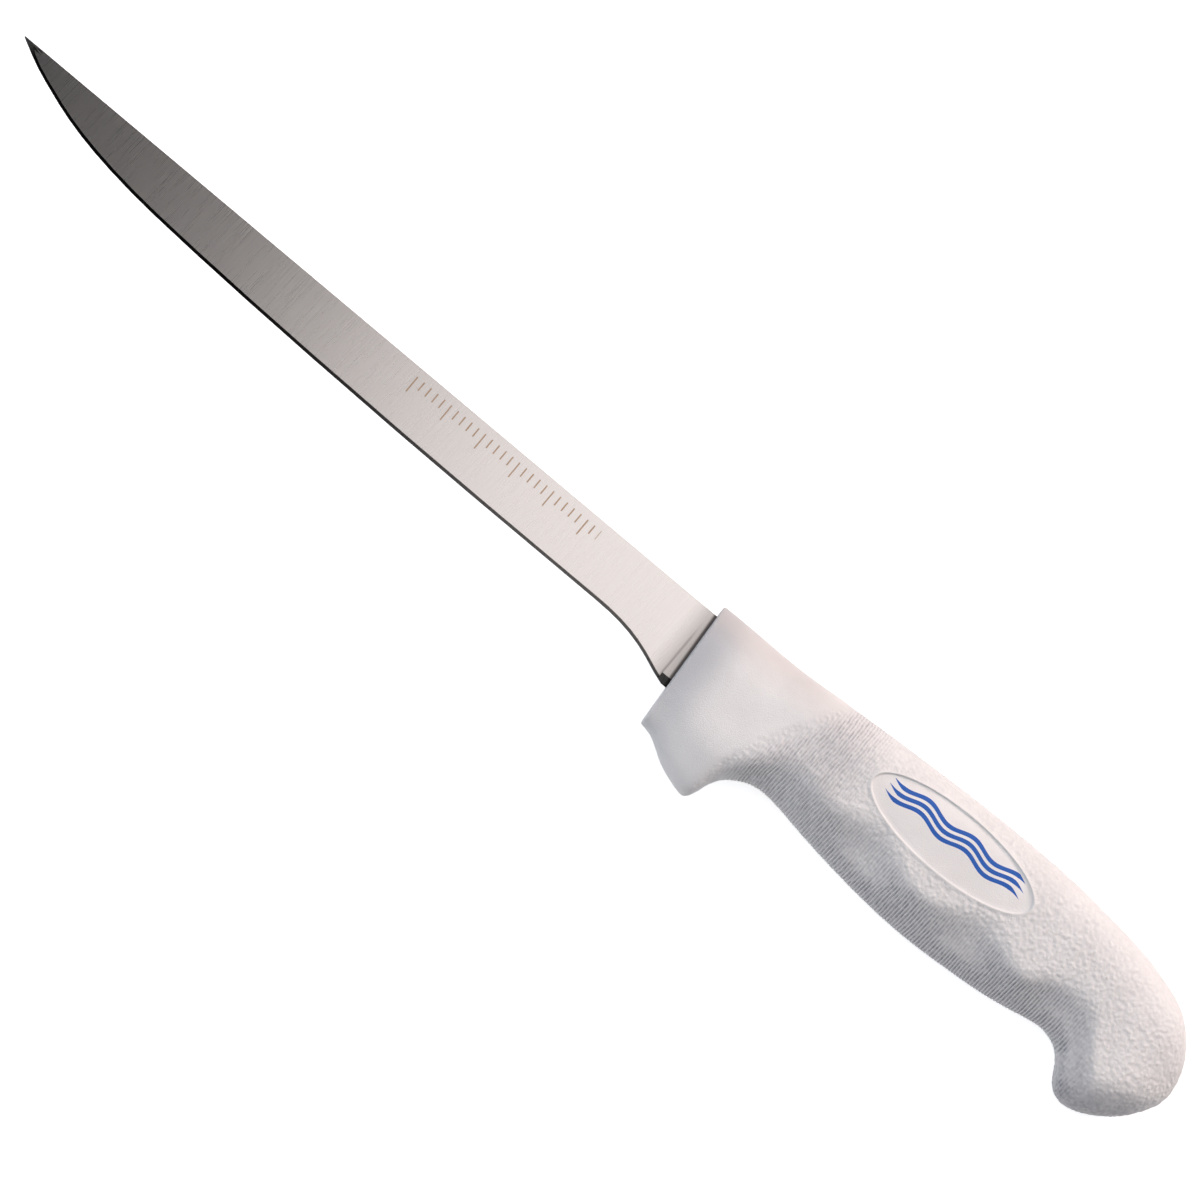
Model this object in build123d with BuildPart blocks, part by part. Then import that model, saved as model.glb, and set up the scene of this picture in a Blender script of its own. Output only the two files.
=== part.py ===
from build123d import *
import os
from math import atan, cos, pi, sin

os.makedirs("parts", exist_ok=True)

# A fillet knife lying on its side. X runs from the tip to the butt, Y from the edge to the spine
# and Z up from the table. Outlines are drawn from the tip along the spine, with depths below it negative.
# All sizes are in millimetres. A list whose name ends in shares holds places as shares of named sizes.

# Blade: the length that shows, its height along the middle and where it flares into the heel
blade_length = 203.2
blade_height = 14.7
heel_height = 19.7
spine_thickness = 1.9
shoulder_thickness = 0.44
edge_thickness = 0.08
blade_sections = 26
bevel_width = 0.8
point_height = 0.3
ricasso_length = 1.4
heel_bevel_height = 2.2
heel_bevel_depth = 0.6

# Tang: the narrow holed stretch of the same plate, inside the grip
neck_length = 5.0
tang_length = 112.0
tang_height = 12.0
tang_top_step = 2.5
tang_corner_radius = 2.0
tang_hole_diameter = 5.5
tang_hole_pitch = 36.0
tang_hole_count = 3

# Grip: its length behind the blade, its height from the crest to the guard's tip, and its thickness
# between the two flats on its sides, which cut off the crown of each side
grip_length = 147.0
grip_height = 42.2
crest_rise = 6.2
grip_thickness = 21.6
side_crown = 0.12
front_lean = 2.6
front_edge_radius = 0.5

# Hard core inside the soft grip
core_setback = 6.0
core_length = 118.0
core_height = 17.6
core_thickness = 12.0
core_top_step = 0.6
core_edge_radius = 3.0

# Oval recess in the side that faces up
oval_length = 45.8
oval_height = 14.6
oval_depth = 0.6
oval_setback = 72.7
oval_drop = 5.1

# How far each cutting shape runs past the material
overrun = 5.0

# The cutting edge behind the point, in shares of the blade's length and of its height. The flare goes
# on from there, in shares of the blade's length and of how much the heel is higher than the blade.
edge_shares = [
    (0.012, 0.108), (0.025, 0.199), (0.05, 0.34), (0.1, 0.565), (0.15, 0.707), (0.2, 0.795), (0.264, 0.857),
    (0.384, 0.925), (0.504, 0.966), (0.654, 0.995), (0.797, 1), (0.876, 1),
]
flare_shares = [(0.923, 0.08), (0.948, 0.28), (0.973, 0.61), (0.988, 0.85), (1.006, 1)]
# The spine's thickness along the blade, in shares of the blade's length and of the thickness at the grip
spine_shares = [
    (0, 0.12), (0.01, 0.2), (0.03, 0.32), (0.07, 0.42), (0.2, 0.54), (0.5, 0.75), (0.75, 0.9), (1, 1),
]

# The grip's outlines, in shares of its length from the blade and of its height down from the crest.
# They close just past the butt, so that the last section is still a small flat.
crest_shares = [
    (-0.02, 0.084), (0.08, 0.079), (0.16, 0.077), (0.215, 0.062), (0.28, 0.044), (0.41, 0.019),
    (0.5, 0.005), (0.59, 0), (0.69, 0.007), (0.755, 0.026), (0.825, 0.0545), (0.885, 0.102), (0.93, 0.161),
    (0.965, 0.262), (0.986, 0.368), (0.997, 0.47), (1.0015, 0.557),
]
belly_shares = [
    (-0.02, 0.846), (0.017, 0.848), (0.035, 0.856), (0.066, 0.922), (0.1, 0.971), (0.128, 0.999),
    (0.1354, 0.9985), (0.142, 0.981), (0.149, 0.919), (0.156, 0.86), (0.166, 0.803), (0.184, 0.756),
    (0.204, 0.723), (0.222, 0.713), (0.274, 0.73), (0.342, 0.768), (0.411, 0.796), (0.48, 0.815),
    (0.55, 0.8175), (0.618, 0.803), (0.686, 0.78), (0.754, 0.735), (0.78, 0.722), (0.804, 0.735),
    (0.825, 0.777), (0.839, 0.844), (0.852, 0.912), (0.867, 0.95), (0.88, 0.96), (0.901, 0.948),
    (0.922, 0.917), (0.942, 0.872), (0.963, 0.81), (0.984, 0.716), (0.9965, 0.635), (1.0015, 0.557),
]
# Where the crowned side turns down to the fingers, in the same shares: it waves with the four fingers
crease_shares = [
    (-0.02, 0.62), (0.08, 0.69), (0.14, 0.71), (0.165, 0.67), (0.2, 0.57), (0.24, 0.485), (0.3, 0.52),
    (0.34, 0.5), (0.39, 0.44), (0.45, 0.5), (0.5, 0.575), (0.56, 0.52), (0.625, 0.455), (0.66, 0.51),
    (0.695, 0.575), (0.74, 0.48), (0.785, 0.43), (0.825, 0.47), (0.85, 0.58), (0.87, 0.68), (0.892, 0.75),
    (0.925, 0.72), (0.963, 0.66), (0.99, 0.6), (1.0015, 0.557),
]
# Half thickness at the side and at the underside, in shares of the grip's length and half thickness
side_shares = [
    (-0.02, 0.66), (0.02, 0.75), (0.055, 0.83), (0.1, 0.885), (0.17, 0.94), (0.25, 0.98), (0.35, 1),
    (0.6, 1), (0.78, 0.985), (0.87, 1), (0.92, 0.96), (0.955, 0.84), (0.98, 0.62), (0.995, 0.36), (1.0015, 0),
]
keel_shares = [
    (-0.02, 0.5), (0.06, 0.54), (0.12, 0.52), (0.22, 0.42), (0.5, 0.44), (0.76, 0.42), (0.88, 0.52),
    (0.96, 0.42), (0.985, 0.3), (1.0015, 0),
]
# Where the grip's sections stand, and which of them, well inside both ends, carry the oval's floor
grip_station_shares = [
    -0.015, 0.02, 0.05, 0.08, 0.11, 0.128, 0.137, 0.145, 0.153, 0.163, 0.178, 0.2, 0.225, 0.26, 0.3, 0.345,
    0.39, 0.435, 0.48, 0.525, 0.57, 0.615, 0.66, 0.705, 0.745, 0.78, 0.81, 0.832, 0.85, 0.868, 0.888, 0.91,
    0.935, 0.957, 0.974, 0.987, 0.9955, 1,
]
floor_stations = slice(4, -6)
# One section's roundness: depth in shares of the section's height, width in shares of half thickness
shoulder_shares = [(0.015, 0.4), (0.065, 0.72), (0.19, 0.93)]
crease_width_share = 0.97
keel_height_share = 0.045

# Places that follow from the sizes
overall_length = blade_length + grip_length
tip_x = -overall_length / 2
grip_x = tip_x + blade_length
crest_y = grip_height / 2
spine_y = crest_y - crest_rise
middle_z = grip_thickness / 2
ricasso_x = blade_length - ricasso_length
knife_plane = Plane(origin=(tip_x, spine_y, middle_z))
halvings = 40


def cross_plane(x):
    """A plane square to the knife's length, with its own X towards the spine and its own Y up."""
    return Plane(origin=(x, spine_y, middle_z), x_dir=(0, 1, 0), z_dir=(1, 0, 0))


def guide(points):
    """One smooth curve through points that run steadily along the knife."""
    with BuildLine() as curve:
        Spline(points)
    return curve.edge()


def level_at(curve, along):
    """How far a guide curve stands from the axis at a place along the knife."""
    low, high = 0, 1
    for _ in range(halvings):
        half_way = (low + high) / 2
        if (curve @ half_way).X < along:
            low = half_way
        else:
            high = half_way
    return (curve @ half_way).Y


def grip_guide(shares, size):
    """A guide curve along the grip, from shares of its length and of another size."""
    return guide([(along * grip_length, share * size) for along, share in shares])


# Blade outline: the cutting edge with the flare into the heel
flare_height = heel_height - blade_height
edge_points = [(0, -point_height)]
edge_points += [(along * blade_length, -share * blade_height) for along, share in edge_shares]
edge_points += [(along * blade_length, -blade_height - share * flare_height) for along, share in flare_shares]
edge_line = guide(edge_points)
spine_line = guide([(along * ricasso_x, share * spine_thickness) for along, share in spine_shares])


def blade_section(along):
    """Points round the blade's section, from the spine down one side to the edge and up the other."""
    depth = level_at(edge_line, along)
    spine_half = level_at(spine_line, along) / 2
    shoulder_half = min(shoulder_thickness / 2, (spine_half + edge_thickness / 2) / 2)
    bevel = min(bevel_width, -depth / 2)
    side = [(0, spine_half), (depth + bevel, shoulder_half), (depth, edge_thickness / 2)]
    return side + [(level, -half) for level, half in reversed(side)]


# The ground stretch: smooth rails through the corners of its sections, and ruled faces between the rails.
# The sections stand closer together near the point and the flare than in the middle.
stations = [ricasso_x * (1 - cos(pi * number / blade_sections)) / 2 for number in range(blade_sections + 1)]
sections = [blade_section(along) for along in stations]
rails = []
for corner in range(len(sections[0])):
    points = []
    for along, section in zip(stations, sections):
        y, z = section[corner]
        points.append((along + tip_x, y + spine_y, z + middle_z))
    rails.append(guide(points))
next_rails = rails[1:] + rails[:1]
ground_faces = [Face.make_surface_from_curves(rail, other) for rail, other in zip(rails, next_rails)]
ground_ends = [Face(Wire.make_polygon([rail @ end for rail in rails])) for end in (0, 1)]
ground_blade = Solid(Shell(ground_faces + ground_ends))

# Blade and tang, one piece of steel: the plate of the ricasso and the tang, then the ground stretch
neck_x = blade_length + neck_length
tang_end_x = blade_length + tang_length
tang_bottom = -tang_top_step - tang_height
heel_start = (ricasso_x, level_at(edge_line, ricasso_x))
with BuildPart() as blade:
    with BuildSketch(knife_plane):
        with BuildLine():
            Polyline(
                (ricasso_x, 0), heel_start, (blade_length, -heel_height), (neck_x, -heel_height),
                (neck_x, tang_bottom), (tang_end_x, tang_bottom), (tang_end_x, -tang_top_step),
                (neck_x, -tang_top_step), (neck_x, 0), close=True,
            )
        plate_face = make_face()
        fillet(plate_face.vertices().group_by(Axis.X)[-1], tang_corner_radius)
        with Locations((blade_length + tang_length / 2, tang_bottom + tang_height / 2)):
            with GridLocations(tang_hole_pitch, tang_hole_pitch, tang_hole_count, 1):
                Circle(tang_hole_diameter / 2, mode=Mode.SUBTRACT)
    extrude(amount=spine_thickness / 2, both=True)
    with BuildSketch(cross_plane(tip_x + ricasso_x)):
        for way in (1, -1):
            land = way * (spine_thickness / 2 - heel_bevel_depth)
            face = way * spine_thickness / 2
            outside = face + way * overrun
            with BuildLine():
                Polyline(
                    (-heel_height, land), (heel_bevel_height - heel_height, face),
                    (heel_bevel_height - heel_height, outside), (-heel_height - overrun, outside),
                    (-heel_height - overrun, land), close=True,
                )
            make_face()
    extrude(amount=ricasso_length + front_lean, mode=Mode.SUBTRACT)
    add(ground_blade)
blade.part.label = "blade"
export_step(blade.part, "parts/blade.step")

# Hard core, moulded round the tang and through its holes
with BuildPart() as core_block:
    with BuildSketch(knife_plane):
        with Locations((blade_length + core_setback + core_length / 2, -core_top_step - core_height / 2)):
            Rectangle(core_length, core_height)
    extrude(amount=core_thickness / 2, both=True)
    fillet(core_block.edges(), core_edge_radius)
with BuildPart() as handle_core:
    add(core_block.part)
    add(blade.part, mode=Mode.SUBTRACT)
handle_core.part.label = "handle_core"
export_step(handle_core.part, "parts/handle_core.step")

# Guide curves along the grip: depths down from the crest, and half thicknesses
grip_half = grip_thickness / 2 + side_crown
crest_line = grip_guide(crest_shares, grip_height)
belly_line = grip_guide(belly_shares, grip_height)
crease_line = grip_guide(crease_shares, grip_height)
side_line = grip_guide(side_shares, grip_half)
keel_line = grip_guide(keel_shares, grip_half)


def grip_section(along, inset):
    """Points round one section of the grip, from the crest down one side and up the other."""
    crest = level_at(crest_line, along) + inset
    belly = level_at(belly_line, along) - inset
    crease = level_at(crease_line, along)
    half = level_at(side_line, along) - inset
    keel = level_at(keel_line, along) - inset
    height = belly - crest
    side = [(crest + down * height, out * half) for down, out in shoulder_shares]
    side += [((side[-1][0] + crease) / 2, half), (crease, crease_width_share * half)]
    side += [((crease + belly) / 2, (half + keel) / 2), (belly - keel_height_share * height, keel)]
    ring = [(crest, 0)] + side + [(belly, 0)] + [(down, -out) for down, out in reversed(side)]
    return [(crest_rise - down, out) for down, out in ring]


def grip_body(inset, station_shares):
    """The grip's smooth outer form through some stations, or the same form pulled in by an even inset."""
    with BuildPart() as body:
        for share in station_shares:
            with BuildSketch(cross_plane(grip_x + share * grip_length)):
                with BuildLine():
                    Spline(grip_section(share * grip_length, inset), periodic=True)
                make_face()
        loft()
    return body.part


# The oval recess, whose floor follows the crowned side
with BuildPart() as oval_recess:
    with BuildSketch(knife_plane.offset(grip_thickness / 4)):
        with Locations((blade_length + oval_setback, -oval_drop)):
            Ellipse(oval_length / 2, oval_height / 2)
    extrude(amount=grip_thickness / 4 + overrun)
    add(grip_body(oval_depth, grip_station_shares[floor_stations]), mode=Mode.SUBTRACT)

# Soft grip, moulded over the core, with its front face leaning back towards the guard
front_angle = atan(front_lean / (grip_height - crest_rise))
front_plane = Plane(
    origin=(grip_x, spine_y, middle_z),
    x_dir=(0, 0, 1),
    z_dir=(cos(front_angle), sin(front_angle), 0),
)
with BuildPart() as soft_grip:
    add(grip_body(0, grip_station_shares))
    split(bisect_by=front_plane, keep=Keep.TOP)
    split(bisect_by=Plane.XY, keep=Keep.TOP)
    split(bisect_by=Plane.XY.offset(grip_thickness), keep=Keep.BOTTOM)
    fillet(soft_grip.faces().sort_by(Axis.X)[0].edges(), front_edge_radius)
    add(oval_recess.part, mode=Mode.SUBTRACT)
    add(core_block.part, mode=Mode.SUBTRACT)
    add(blade.part, mode=Mode.SUBTRACT)
soft_grip.part.label = "soft_grip"
export_step(soft_grip.part, "parts/soft_grip.step")

for piece in (blade, handle_core, soft_grip):
    box = piece.part.bounding_box()
    solids = len(piece.part.solids())
    print(piece.part.label, piece.part.is_valid, solids, "solid", round(piece.part.volume), "mm3")
    print("  from", box.min, "to", box.max)
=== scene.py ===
# %% [markdown]
# # A fillet knife, dressed over its CAD frame
# The real knife is one strip of ground steel whose hidden tang sits in a soft white grip, moulded in one
# go with a guard, finger hollows and a hooked butt. The CAD model already has each shape at its true size,
# so the script first loads it as a fixed frame. The steel keeps its CAD mesh and gets a finish. The grip
# gets a finer skin, because its ribs and pebbles are too small and too many for the CAD solid.

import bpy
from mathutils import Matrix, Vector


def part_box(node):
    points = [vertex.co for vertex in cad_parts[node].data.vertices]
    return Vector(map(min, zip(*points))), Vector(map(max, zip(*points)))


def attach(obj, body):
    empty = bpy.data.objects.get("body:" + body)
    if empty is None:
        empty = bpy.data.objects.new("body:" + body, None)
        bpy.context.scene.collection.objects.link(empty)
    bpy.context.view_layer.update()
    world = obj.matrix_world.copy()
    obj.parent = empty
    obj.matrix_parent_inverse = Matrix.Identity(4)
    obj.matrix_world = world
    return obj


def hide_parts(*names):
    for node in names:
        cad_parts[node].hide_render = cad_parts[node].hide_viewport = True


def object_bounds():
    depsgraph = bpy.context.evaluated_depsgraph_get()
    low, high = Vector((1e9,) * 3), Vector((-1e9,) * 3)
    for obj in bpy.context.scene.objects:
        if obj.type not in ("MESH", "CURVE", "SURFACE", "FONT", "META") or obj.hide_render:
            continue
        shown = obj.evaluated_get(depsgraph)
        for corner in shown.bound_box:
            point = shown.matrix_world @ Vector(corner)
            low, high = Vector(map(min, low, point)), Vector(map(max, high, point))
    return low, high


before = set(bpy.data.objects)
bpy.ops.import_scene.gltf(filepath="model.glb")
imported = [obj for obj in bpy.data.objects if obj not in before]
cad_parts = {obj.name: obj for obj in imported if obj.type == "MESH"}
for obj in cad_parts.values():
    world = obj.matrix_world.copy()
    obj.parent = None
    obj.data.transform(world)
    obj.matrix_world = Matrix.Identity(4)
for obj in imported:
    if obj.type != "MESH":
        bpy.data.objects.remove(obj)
cad_low, cad_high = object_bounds()
print("CAD box", [round(size, 4) for size in cad_high - cad_low])

# %% [markdown]
# Lengths are written in millimetres and turned into metres once. A place on the knife is given as its
# drawing would give it: so far from the tip, and so deep below the blade's back.

# %% Millimetres, and places on the knife
import math
import bpy
import numpy as np
from mathutils import Vector, noise
from mathutils.bvhtree import BVHTree

MM = 0.001
TIP_X = cad_low.x
SPINE_Y = 14.9 * MM
blade_low, blade_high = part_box("blade")
grip_low, grip_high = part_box("soft_grip")
MIDDLE_Z = (grip_low.z + grip_high.z) / 2
print("blade", [round(size / MM, 2) for size in blade_high - blade_low], "mm")
print("grip", [round(size / MM, 2) for size in grip_high - grip_low], "mm")


def x_at(along):
    """The X of a place so many millimetres from the tip."""
    return TIP_X + along * MM


def y_at(depth):
    """The Y of a place so many millimetres below the blade's back."""
    return SPINE_Y - depth * MM


def smooth_step(low, high, value):
    """0 below low, 1 above high and an even curve between, for a number or an array."""
    share = np.clip((value - low) / (high - low), 0, 1)
    return share * share * (3 - 2 * share)


# %% [markdown]
# ## Camera
# The product photograph looks straight down on the knife from far away, with the point at the upper left.
# A long lens at 1.6 m does that. The camera is rolled by 40 degrees, so the knife lies on the same diagonal
# and fills the square frame as it does there.

# %% Camera
CAMERA_HEIGHT = 1.6
FRAME_WIDTH = 0.2697
SENSOR_WIDTH = 36.0
CAMERA_ROLL = math.radians(40)
CAMERA_AIM = (0.0055, 0.0008, 0.012)
CLIP_START = 0.05

camera_place = (CAMERA_AIM[0], CAMERA_AIM[1], CAMERA_HEIGHT)
bpy.ops.object.select_all(action="DESELECT")
bpy.ops.object.camera_add(location=camera_place, rotation=(0, 0, CAMERA_ROLL))
camera = bpy.context.object
camera.name = "product_camera"
camera.data.sensor_width = SENSOR_WIDTH
camera.data.lens = SENSOR_WIDTH * (CAMERA_HEIGHT - CAMERA_AIM[2]) / FRAME_WIDTH
camera.data.clip_start = CLIP_START
bpy.context.scene.camera = camera
print("lens", round(camera.data.lens), "mm")

# %% [markdown]
# ## The grip's skin
# The moulded skin has about 150 fine ribs across its underside, and pebbles a millimetre wide on its sides.
# Both must be real geometry to catch the light at their edges. A remeshed copy of the CAD solid would need
# millions of faces for that, so the skin is a sleeve of rings instead: a ring every 0.25 mm, three to each
# rib, so that every rib falls on the same vertices. Rays aimed at the CAD grip find each ring's points, and
# so the skin has the CAD shape without a copy of its numbers.

# %% Rays onto the CAD grip
cad_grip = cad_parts["soft_grip"]
grip_tree = BVHTree.FromPolygons(
    [vertex.co.copy() for vertex in cad_grip.data.vertices],
    [tuple(face.vertices) for face in cad_grip.data.polygons],
)
RAY_START = 0.08


def hit(start, direction):
    """Where a ray meets the CAD grip, with the surface's outward normal, or None twice."""
    place, normal, _, _ = grip_tree.ray_cast(start, direction)
    if place is None:
        return None, None
    return place, normal if normal.dot(direction) < 0 else -normal


def crest_and_belly(x):
    """The grip's highest and lowest Y at an X."""
    crest, _ = hit(Vector((x, RAY_START, MIDDLE_Z)), Vector((0, -1, 0)))
    belly, _ = hit(Vector((x, -RAY_START, MIDDLE_Z)), Vector((0, 1, 0)))
    return crest.y, belly.y


print(len(cad_grip.data.polygons), "CAD faces to aim at")

# %% [markdown]
# The oval recess in the upper side is left out of the sleeve and set in later. Rays that fall into it are
# lifted back to the level of the side, so the sleeve runs over it evenly.

# %% The oval's outline
FRONT_ALONG = 203.2
OVAL_BEHIND_FRONT = 72.7
OVAL_X = x_at(FRONT_ALONG + OVAL_BEHIND_FRONT)
OVAL_Y = y_at(5.1)
OVAL_HALF_LENGTH = 22.9 * MM
OVAL_HALF_HEIGHT = 7.3 * MM
OVAL_DEPTH = 0.6 * MM


def oval_share(x, y, outset=0):
    """Below 1 inside the oval grown by an outset, and 1 on its line."""
    across = (x - OVAL_X) / (OVAL_HALF_LENGTH + outset)
    up = (y - OVAL_Y) / (OVAL_HALF_HEIGHT + outset)
    return np.hypot(across, up)


# %% [markdown]
# Rings crowd where the surface turns quickly along the knife: at the front edge, which is rounded within a
# millimetre, and at the butt, where their steps shrink with a sine. Between the two they follow the ribs.

# %% Where the rings stand
RIB_PITCH = 0.76
RINGS_A_RIB = 3
RIB_START = 222.0
BUTT_START = 338.0
BUTT_END = 350.17
BUTT_RINGS = 79
EDGE_STEPS = (0.004, 0.05, 0.13, 0.26, 0.42, 0.6, 0.9)
SMOOTH_RINGS = 18
SMOOTH_FROM, SMOOTH_TO = FRONT_ALONG + 1.4, RIB_START - 0.6
front_alongs = [FRONT_ALONG + step for step in EDGE_STEPS]
front_alongs += list(np.linspace(SMOOTH_FROM, SMOOTH_TO, SMOOTH_RINGS))
rib_alongs = list(np.arange(RIB_START, BUTT_START, RIB_PITCH / RINGS_A_RIB))
butt_turns = np.linspace(0, math.pi / 2, BUTT_RINGS + 1)[1:]
butt_alongs = list(rib_alongs[-1] + (BUTT_END - rib_alongs[-1]) * np.sin(butt_turns))
ring_alongs = front_alongs + rib_alongs + butt_alongs
first_rib_ring = len(front_alongs)
print(len(ring_alongs), "rings,", round((BUTT_START - RIB_START) / RIB_PITCH), "ribs")

# %% [markdown]
# Each ring lies in a plane across the knife. The first ones lean back with the grip's front, and the ribs
# waver a little, as a tool-cut texture does. Points sit close together on the pebbled sides and further
# apart on the underside, which has only ribs. A pair of numbers is where a change starts and ends, along
# the knife or down the ring.

# %% One ring of the sleeve
RAYS = 360
AROUND = 170
FRONT_SLOPE = 2.6 / 36
UNDERSIDE_DENSITY = 0.6
UNDERSIDE_STARTS = (0.62, 0.78)
LEAN_FADES = (210, 238)
AXIS_DROP = 10 * MM
AXIS_SHARE = 0.42
RECESS_EDGE = 1.002
WAVER = 0.3 * MM
WAVER_LENGTH = 7
WAVES_AROUND = 4
WAVER_GROWS = (214, 232)
WAVER_FADES = (340, 347)


def ring_points(along, waver):
    """The points of one ring of the sleeve, evenly spread by how fine each stretch has to be."""
    x = x_at(along)
    lean = FRONT_SLOPE * (1 - smooth_step(*LEAN_FADES, along))
    crest, belly = crest_and_belly(x + lean * AXIS_DROP)
    axis_y = crest - min(AXIS_DROP, AXIS_SHARE * (crest - belly))
    found = []
    for ray in range(RAYS):
        turn = 2 * math.pi * ray / RAYS
        up, side = math.cos(turn), math.sin(turn)
        swing = waver * noise.noise(Vector((along / WAVER_LENGTH, WAVES_AROUND * up, WAVES_AROUND * side)))
        out = Vector((-lean * up, up, side))
        start = Vector((x + lean * (SPINE_Y - axis_y) + swing, axis_y, MIDDLE_Z)) + out * RAY_START
        place, normal = hit(start, -out)
        if place is None:
            continue
        if side > 0 and oval_share(place.x, place.y) < RECESS_EDGE:
            place = place + normal * OVAL_DEPTH
            place.z = min(place.z, grip_high.z)
        found.append(place)
    found = np.array(found + found[:1])
    steps = np.linalg.norm(np.diff(found, axis=0), axis=1)
    middles = (found[1:, 1] + found[:-1, 1]) / 2
    drop = (crest - middles) / (crest - belly)
    density = 1 - (1 - UNDERSIDE_DENSITY) * smooth_step(*UNDERSIDE_STARTS, drop)
    run = np.concatenate([[0], np.cumsum(steps * density)])
    targets = np.linspace(0, run[-1], AROUND + 1)[:-1]
    return np.stack([np.interp(targets, run, found[:, axis]) for axis in range(3)], axis=1)


# %% The whole sleeve
sleeve = []
for along in ring_alongs:
    waver = WAVER * smooth_step(*WAVER_GROWS, along) * (1 - smooth_step(*WAVER_FADES, along))
    sleeve.append(ring_points(along, waver))
sleeve[0][:, 0] = x_at(FRONT_ALONG) + FRONT_SLOPE * (SPINE_Y - sleeve[0][:, 1])
sleeve = np.array(sleeve)
print("sleeve", sleeve.shape)

# %% [markdown]
# The relief is carved into the sleeve along its normals and only inwards, so the grip keeps its size. The
# front stays smooth up to a slanting line behind the guard, which TEXTURE_STARTS gives for each depth below
# the back. Pebbles begin there and cover the sides and the butt. A little further back, ribs run over the
# underside, and round the sides ahead of the oval. The guard's rear wall has no ribs, because the rings lie
# too far apart on a surface that faces along the knife.

# %% Normals of the sleeve
along_step = np.gradient(sleeve, axis=0)
around_step = np.roll(sleeve, -1, axis=1) - np.roll(sleeve, 1, axis=1)
normals = np.cross(around_step, along_step)
normals /= np.linalg.norm(normals, axis=2, keepdims=True)
centres = sleeve.mean(axis=1, keepdims=True)
if ((sleeve - centres) * normals)[:, :, 1:].sum() < 0:
    normals = -normals
print("normals of", normals.shape[0] * normals.shape[1], "points")

# %% Ribs and pebbles
RIB_DEPTH = 0.2 * MM
PEBBLE_DEPTH = 0.17 * MM
PEBBLE_SIZE = 1.05 * MM
PEBBLE_FLANK = (0.12, 0.62)
RIB_LEVELS = (0, 0.55, 1)
TEXTURE_DEPTHS = (-7, 0, 5, 10, 15, 20, 25, 32)
TEXTURE_STARTS = (240, 236, 234, 231, 228, 226, 224, 223.5)
PEBBLES_FROM = (-1.5, 1.5)
RIBS_FROM = (0.5, 5)
SIDE_RIBS = 0.85
PEBBLES_LOST_BELOW = 0.8
PEBBLES_LOST_AHEAD = 0.45
LEAST_TEXTURE = 0.01
RIB_ON_PEBBLES, RIB_BETWEEN_PEBBLES = 0.7, 1.15
FACES_DOWN = (0.25, 0.55)
FACES_ALONG = (0.45, 0.8)
RIBS_FADE = (326, 334)
AHEAD_OF_OVAL = (244, 256)
alongs = (sleeve[:, :, 0] - TIP_X) / MM
depths = (SPINE_Y - sleeve[:, :, 1]) / MM
edge_of_texture = np.interp(depths, TEXTURE_DEPTHS, TEXTURE_STARTS)
textured = smooth_step(*PEBBLES_FROM, alongs - edge_of_texture)
ribs_begin = smooth_step(*RIBS_FROM, alongs - edge_of_texture)
across = 1 - smooth_step(*FACES_ALONG, np.abs(normals[:, :, 0]))
underside = smooth_step(*FACES_DOWN, -normals[:, :, 1]) * (1 - smooth_step(*RIBS_FADE, alongs)) * across
ahead_of_oval = 1 - smooth_step(*AHEAD_OF_OVAL, alongs)
ribbed = ribs_begin * np.maximum(underside, SIDE_RIBS * ahead_of_oval * across)
pebbled = textured * (1 - PEBBLES_LOST_BELOW * underside * ribs_begin)
pebbled *= 1 - PEBBLES_LOST_AHEAD * ahead_of_oval * ribs_begin
rib_steps = np.arange(len(ring_alongs)) - first_rib_ring
rib_wave = np.array(RIB_LEVELS)[rib_steps % RINGS_A_RIB]
rib_wave[:first_rib_ring] = 0


def pebble(place):
    """0 on a pebble's top and 1 in the hollow between pebbles."""
    nearest = noise.voronoi(Vector(place) / PEBBLE_SIZE)[0][0]
    return float(smooth_step(*PEBBLE_FLANK, nearest))


pebbles = np.zeros(alongs.shape)
for ring, point in zip(*np.nonzero(textured > LEAST_TEXTURE)):
    pebbles[ring, point] = pebble(sleeve[ring, point])
rib_strength = RIB_ON_PEBBLES + (RIB_BETWEEN_PEBBLES - RIB_ON_PEBBLES) * pebbles
ribs = ribbed * rib_wave[:, None] * rib_strength
carved = RIB_DEPTH * ribs + PEBBLE_DEPTH * pebbled * pebbles
skin = sleeve - normals * carved[:, :, None]
print("deepest hollow", round(carved.max() / MM, 3), "mm")

# %% [markdown]
# Two numbers are kept for every point, because the finish needs them later. `pebbled` says how far the
# pebbles cover it. `hollow` says how far its colour is darkened by painted shade and dirt: most between the
# ribs, less towards the guard, a little between the pebbles, and some on the butt's underside, where the
# darkening is painted shade alone, because that side faces down.

# %% Painted shade, dirt and pebbles at every point
LESS_SHADE_AND_DIRT_AHEAD = (244, 274)
BUTT_STARTS = (318, 330)
UNDER_BUTT = (0.15, 0.75)
HOOK_SHADE = 0.3
SHADE_AND_DIRT_AT_GUARD = 0.68
PEBBLE_SHADE_AND_DIRT, BUTT_SHADE = 0.08, 0.55
# Painted shade: the butt's underside is darker where it faces down, away from the lights.
facing_down = -normals[:, :, 1] - HOOK_SHADE * np.minimum(normals[:, :, 0], 0)
butt_underside_shade = smooth_step(*UNDER_BUTT, facing_down) * smooth_step(*BUTT_STARTS, alongs)
# Painted shade and dirt between the ribs and between the pebbles.
rib_shade_and_dirt = ribs * (SHADE_AND_DIRT_AT_GUARD + (1 - SHADE_AND_DIRT_AT_GUARD) * smooth_step(*LESS_SHADE_AND_DIRT_AHEAD, alongs))
hollow = np.clip(rib_shade_and_dirt + PEBBLE_SHADE_AND_DIRT * pebbled * pebbles + BUTT_SHADE * butt_underside_shade, 0, 1)
print("mean dirt", round(float(hollow.mean()), 3))

# %% [markdown]
# The butt's last small flat is closed with shrinking copies of the last ring, which end in one point.

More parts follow.
